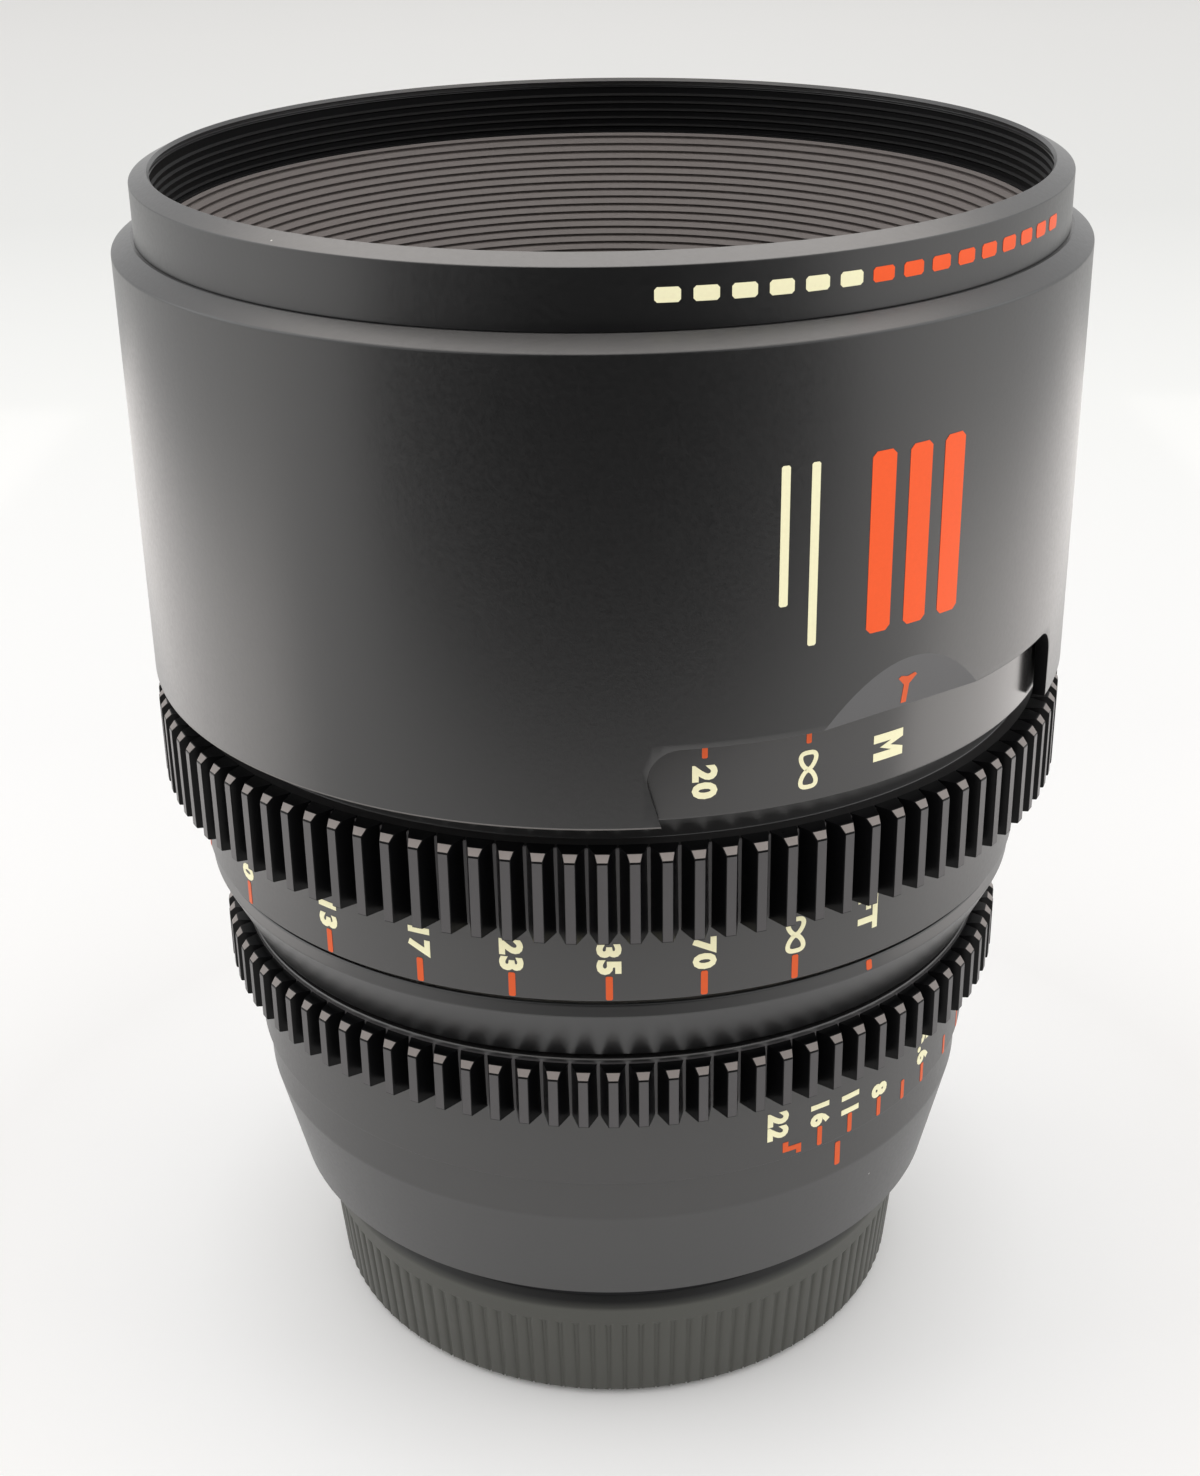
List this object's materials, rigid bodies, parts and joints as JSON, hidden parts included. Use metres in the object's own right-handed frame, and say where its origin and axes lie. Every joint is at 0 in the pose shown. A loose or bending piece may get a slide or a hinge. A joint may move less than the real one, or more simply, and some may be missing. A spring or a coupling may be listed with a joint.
{
  "type": "cinema prime lens",
  "caption": "Cinema prime lens with geared focus and aperture rings, distance and stop scales, a threaded front ring, a ridged front baffle, an iris and a rear cap.",
  "frame": {"origin": "middle of the rear cap's bottom face, on the optical axis", "axes": "+Z along the optical axis, out of the front of the lens; -Y is the side that the picture is taken from"},
  "size_m": [0.084, 0.084, 0.112],
  "materials": {
    "black_anodised": "satin black anodised, fine bead-blast grain",
    "satin_black": "smooth satin black anodised",
    "gear_black": "black anodised, machined teeth",
    "matte_black": "matte black anodised",
    "mount_metal": "dark plated brass",
    "steel": "plain steel",
    "brass": "bare brass",
    "bare_aluminium": "bare aluminium",
    "blade_steel": "blackened spring steel",
    "black_plastic": "matte black plastic",
    "white_plastic": "white slippery plastic",
    "cap_plastic": "moulded matte black plastic",
    "coated_glass": "coated optical glass"
  },
  "bodies": {
    "root": {"front_ring": "black_anodised", "front_baffle": "matte_black", "front_barrel": "black_anodised", "barrel_screws": "steel", "main_tube": "black_anodised", "middle_barrel": "satin_black", "rear_barrel": "black_anodised", "flange_shim": "brass", "mount_flange": "mount_metal", "mount_screws": "steel", "rear_light_baffle": "black_plastic", "focus_stop_pin": "steel", "focus_glide_ring": "white_plastic", "aperture_glide_ring": "white_plastic"},
    "focus": {"focus_ring": "gear_black", "cam_sleeve": "brass", "distance_sleeve": "black_anodised", "focus_ring_screws": "steel"},
    "aperture": {"aperture_ring": "gear_black", "aperture_drive_pin": "steel"},
    "optics": {"glass_carrier": "matte_black", "front_cell": "matte_black", "rear_cell": "matte_black", "cam_followers": "brass", "iris_plate": "bare_aluminium", "front_retaining_ring": "matte_black", "front_spacer": "matte_black", "inner_retaining_ring": "matte_black", "rear_spacer": "matte_black", "rear_retaining_ring": "matte_black", "lens_1": "coated_glass", "lens_2": "coated_glass", "lens_3": "coated_glass", "lens_4": "coated_glass", "lens_5": "coated_glass", "lens_6": "coated_glass", "lens_7": "coated_glass", "lens_8": "coated_glass"},
    "iris_drive": {"iris_drive_ring": "bare_aluminium"},
    "rear_cap": {"rear_cap": "cap_plastic"},
    "iris_blade_1": {"iris_blade_1": "blade_steel"},
    "iris_blade_2": {"iris_blade_2": "blade_steel"},
    "iris_blade_3": {"iris_blade_3": "blade_steel"},
    "iris_blade_4": {"iris_blade_4": "blade_steel"},
    "iris_blade_5": {"iris_blade_5": "blade_steel"},
    "iris_blade_6": {"iris_blade_6": "blade_steel"},
    "iris_blade_7": {"iris_blade_7": "blade_steel"},
    "iris_blade_8": {"iris_blade_8": "blade_steel"},
    "iris_blade_9": {"iris_blade_9": "blade_steel"},
    "iris_blade_10": {"iris_blade_10": "blade_steel"}
  },
  "joints": [
    {"name": "focus_turn", "type": "hinge", "parent": "root", "child": "focus", "pos_m": [0, 0, 0.058], "axis": [0, 0, 1], "range_deg": [0, 285]},
    {"name": "optics_slide", "type": "slide", "parent": "root", "child": "optics", "axis": [0, 0, 1], "range_m": [0, 0.0095]},
    {"name": "aperture_turn", "type": "hinge", "parent": "root", "child": "aperture", "pos_m": [0, 0, 0.036], "axis": [0, 0, 1], "range_deg": [-70, 7.3]},
    {"name": "iris_drive_turn", "type": "hinge", "parent": "optics", "child": "iris_drive", "pos_m": [0, 0, 0.0446], "axis": [0, 0, 1], "range_deg": [-70, 7.3]},
    {"name": "cap_pull", "type": "slide", "parent": "root", "child": "rear_cap", "axis": [0, 0, -1], "range_m": [0, 0.03]},
    {"name": "iris_blade_1_swing", "type": "hinge", "parent": "optics", "child": "iris_blade_1", "pos_m": [0, -0.027, 0.05], "axis": [0, 0, 1], "range_deg": [-30.34, 3.16]},
    {"name": "iris_blade_2_swing", "type": "hinge", "parent": "optics", "child": "iris_blade_2", "pos_m": [0.01587, -0.02184, 0.05], "axis": [0, 0, 1], "range_deg": [-30.34, 3.16]},
    {"name": "iris_blade_3_swing", "type": "hinge", "parent": "optics", "child": "iris_blade_3", "pos_m": [0.02568, -0.00834, 0.05], "axis": [0, 0, 1], "range_deg": [-30.34, 3.16]},
    {"name": "iris_blade_4_swing", "type": "hinge", "parent": "optics", "child": "iris_blade_4", "pos_m": [0.02568, 0.00834, 0.05], "axis": [0, 0, 1], "range_deg": [-30.34, 3.16]},
    {"name": "iris_blade_5_swing", "type": "hinge", "parent": "optics", "child": "iris_blade_5", "pos_m": [0.01587, 0.02184, 0.05], "axis": [0, 0, 1], "range_deg": [-30.34, 3.16]},
    {"name": "iris_blade_6_swing", "type": "hinge", "parent": "optics", "child": "iris_blade_6", "pos_m": [0, 0.027, 0.05], "axis": [0, 0, 1], "range_deg": [-30.34, 3.16]},
    {"name": "iris_blade_7_swing", "type": "hinge", "parent": "optics", "child": "iris_blade_7", "pos_m": [-0.01587, 0.02184, 0.05], "axis": [0, 0, 1], "range_deg": [-30.34, 3.16]},
    {"name": "iris_blade_8_swing", "type": "hinge", "parent": "optics", "child": "iris_blade_8", "pos_m": [-0.02568, 0.00834, 0.05], "axis": [0, 0, 1], "range_deg": [-30.34, 3.16]},
    {"name": "iris_blade_9_swing", "type": "hinge", "parent": "optics", "child": "iris_blade_9", "pos_m": [-0.02568, -0.00834, 0.05], "axis": [0, 0, 1], "range_deg": [-30.34, 3.16]},
    {"name": "iris_blade_10_swing", "type": "hinge", "parent": "optics", "child": "iris_blade_10", "pos_m": [-0.01587, -0.02184, 0.05], "axis": [0, 0, 1], "range_deg": [-30.34, 3.16]}
  ],
  "couplings": [
    {"joint": "optics_slide", "follows": "focus_turn", "m_per_rad": 0.0019099},
    {"joint": "iris_drive_turn", "follows": "aperture_turn", "ratio": 1},
    {"joint": "iris_blade_1_swing", "follows": "aperture_turn", "ratio": 0.43338},
    {"joint": "iris_blade_2_swing", "follows": "aperture_turn", "ratio": 0.43338},
    {"joint": "iris_blade_3_swing", "follows": "aperture_turn", "ratio": 0.43338},
    {"joint": "iris_blade_4_swing", "follows": "aperture_turn", "ratio": 0.43338},
    {"joint": "iris_blade_5_swing", "follows": "aperture_turn", "ratio": 0.43338},
    {"joint": "iris_blade_6_swing", "follows": "aperture_turn", "ratio": 0.43338},
    {"joint": "iris_blade_7_swing", "follows": "aperture_turn", "ratio": 0.43338},
    {"joint": "iris_blade_8_swing", "follows": "aperture_turn", "ratio": 0.43338},
    {"joint": "iris_blade_9_swing", "follows": "aperture_turn", "ratio": 0.43338},
    {"joint": "iris_blade_10_swing", "follows": "aperture_turn", "ratio": 0.43338}
  ]
}
